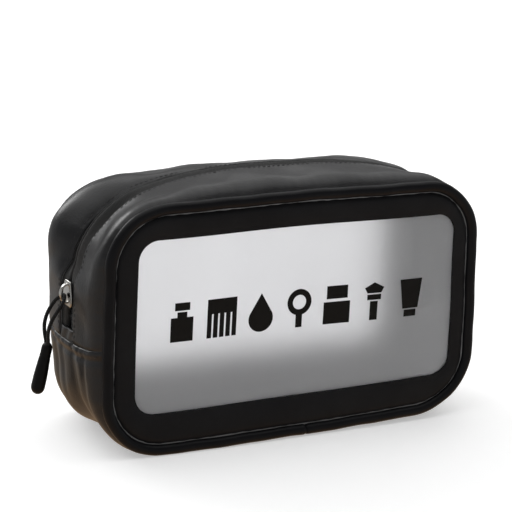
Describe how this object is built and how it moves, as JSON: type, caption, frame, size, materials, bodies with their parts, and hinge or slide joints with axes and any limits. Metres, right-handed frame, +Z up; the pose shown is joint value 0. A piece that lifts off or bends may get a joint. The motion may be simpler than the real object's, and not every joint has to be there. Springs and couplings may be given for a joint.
{
  "type": "wash bag",
  "caption": "Soft box-shaped wash bag with frosted windows, piped edges, and a zip over its upper half with a slider and cord pull; the front folds forward to open it.",
  "frame": {"origin": "centre of the flat base, on the surface that the bag stands on", "axes": "+X along the width to the right as the front is seen, -Y out of the front, +Z up"},
  "size_m": [0.2485, 0.08, 0.1393],
  "materials": {
    "panel_leather": "matt, fine grain",
    "gusset_leather": "satin, fine grain",
    "piping": "satin",
    "piping_core": "plain",
    "binding": "woven",
    "film": "frosted",
    "ink": "matt print",
    "zip_tape": "woven",
    "zip_coil": "satin",
    "nickel": "bright nickel",
    "cord": "braided",
    "grip": "satin"
  },
  "bodies": {
    "bag": {"back_panel": "panel_leather", "back_window": "film", "back_piping": "piping", "back_piping_core": "piping_core", "back_binding": "binding", "back_strip": "gusset_leather", "back_tape": "zip_tape", "back_coil": "zip_coil", "lower_gusset": "gusset_leather", "zip_end_tabs": "gusset_leather", "front_panel_lower": "panel_leather", "front_window_lower": "film", "front_piping_lower": "piping", "front_piping_core_lower": "piping_core", "front_binding_lower": "binding", "front_strip_lower": "gusset_leather", "front_tape_lower": "zip_tape", "front_coil_lower": "zip_coil"},
    "flap": {"front_panel_upper": "panel_leather", "front_window_upper": "film", "window_motif": "ink", "front_piping_upper": "piping", "front_piping_core_upper": "piping_core", "front_binding_upper": "binding", "front_strip_upper": "gusset_leather", "front_tape_upper": "zip_tape", "front_coil_upper": "zip_coil"},
    "slider": {"slider_body": "nickel", "slider_bridge": "nickel"},
    "cord": {"pull_cord": "cord"},
    "grip": {"pull_grip": "grip"}
  },
  "joints": [
    {"name": "flap_fold", "type": "hinge", "parent": "bag", "child": "flap", "pos_m": [0, -0.04, 0.056], "axis": [1, 0, 0], "range_deg": [0, 35]},
    {"name": "slider_run", "type": "slide", "parent": "bag", "child": "slider", "axis": [0, 0, 1], "range_m": [-0.011, 0.008]},
    {"name": "cord_swing", "type": "hinge", "parent": "slider", "child": "cord", "pos_m": [-0.1165, 0, 0.0792], "axis": [0, 1, 0], "range_deg": [-4, 135]},
    {"name": "grip_bend", "type": "hinge", "parent": "cord", "child": "grip", "pos_m": [-0.1254, 0, 0.0514], "axis": [0, 1, 0], "range_deg": [-10, 45]}
  ]
}
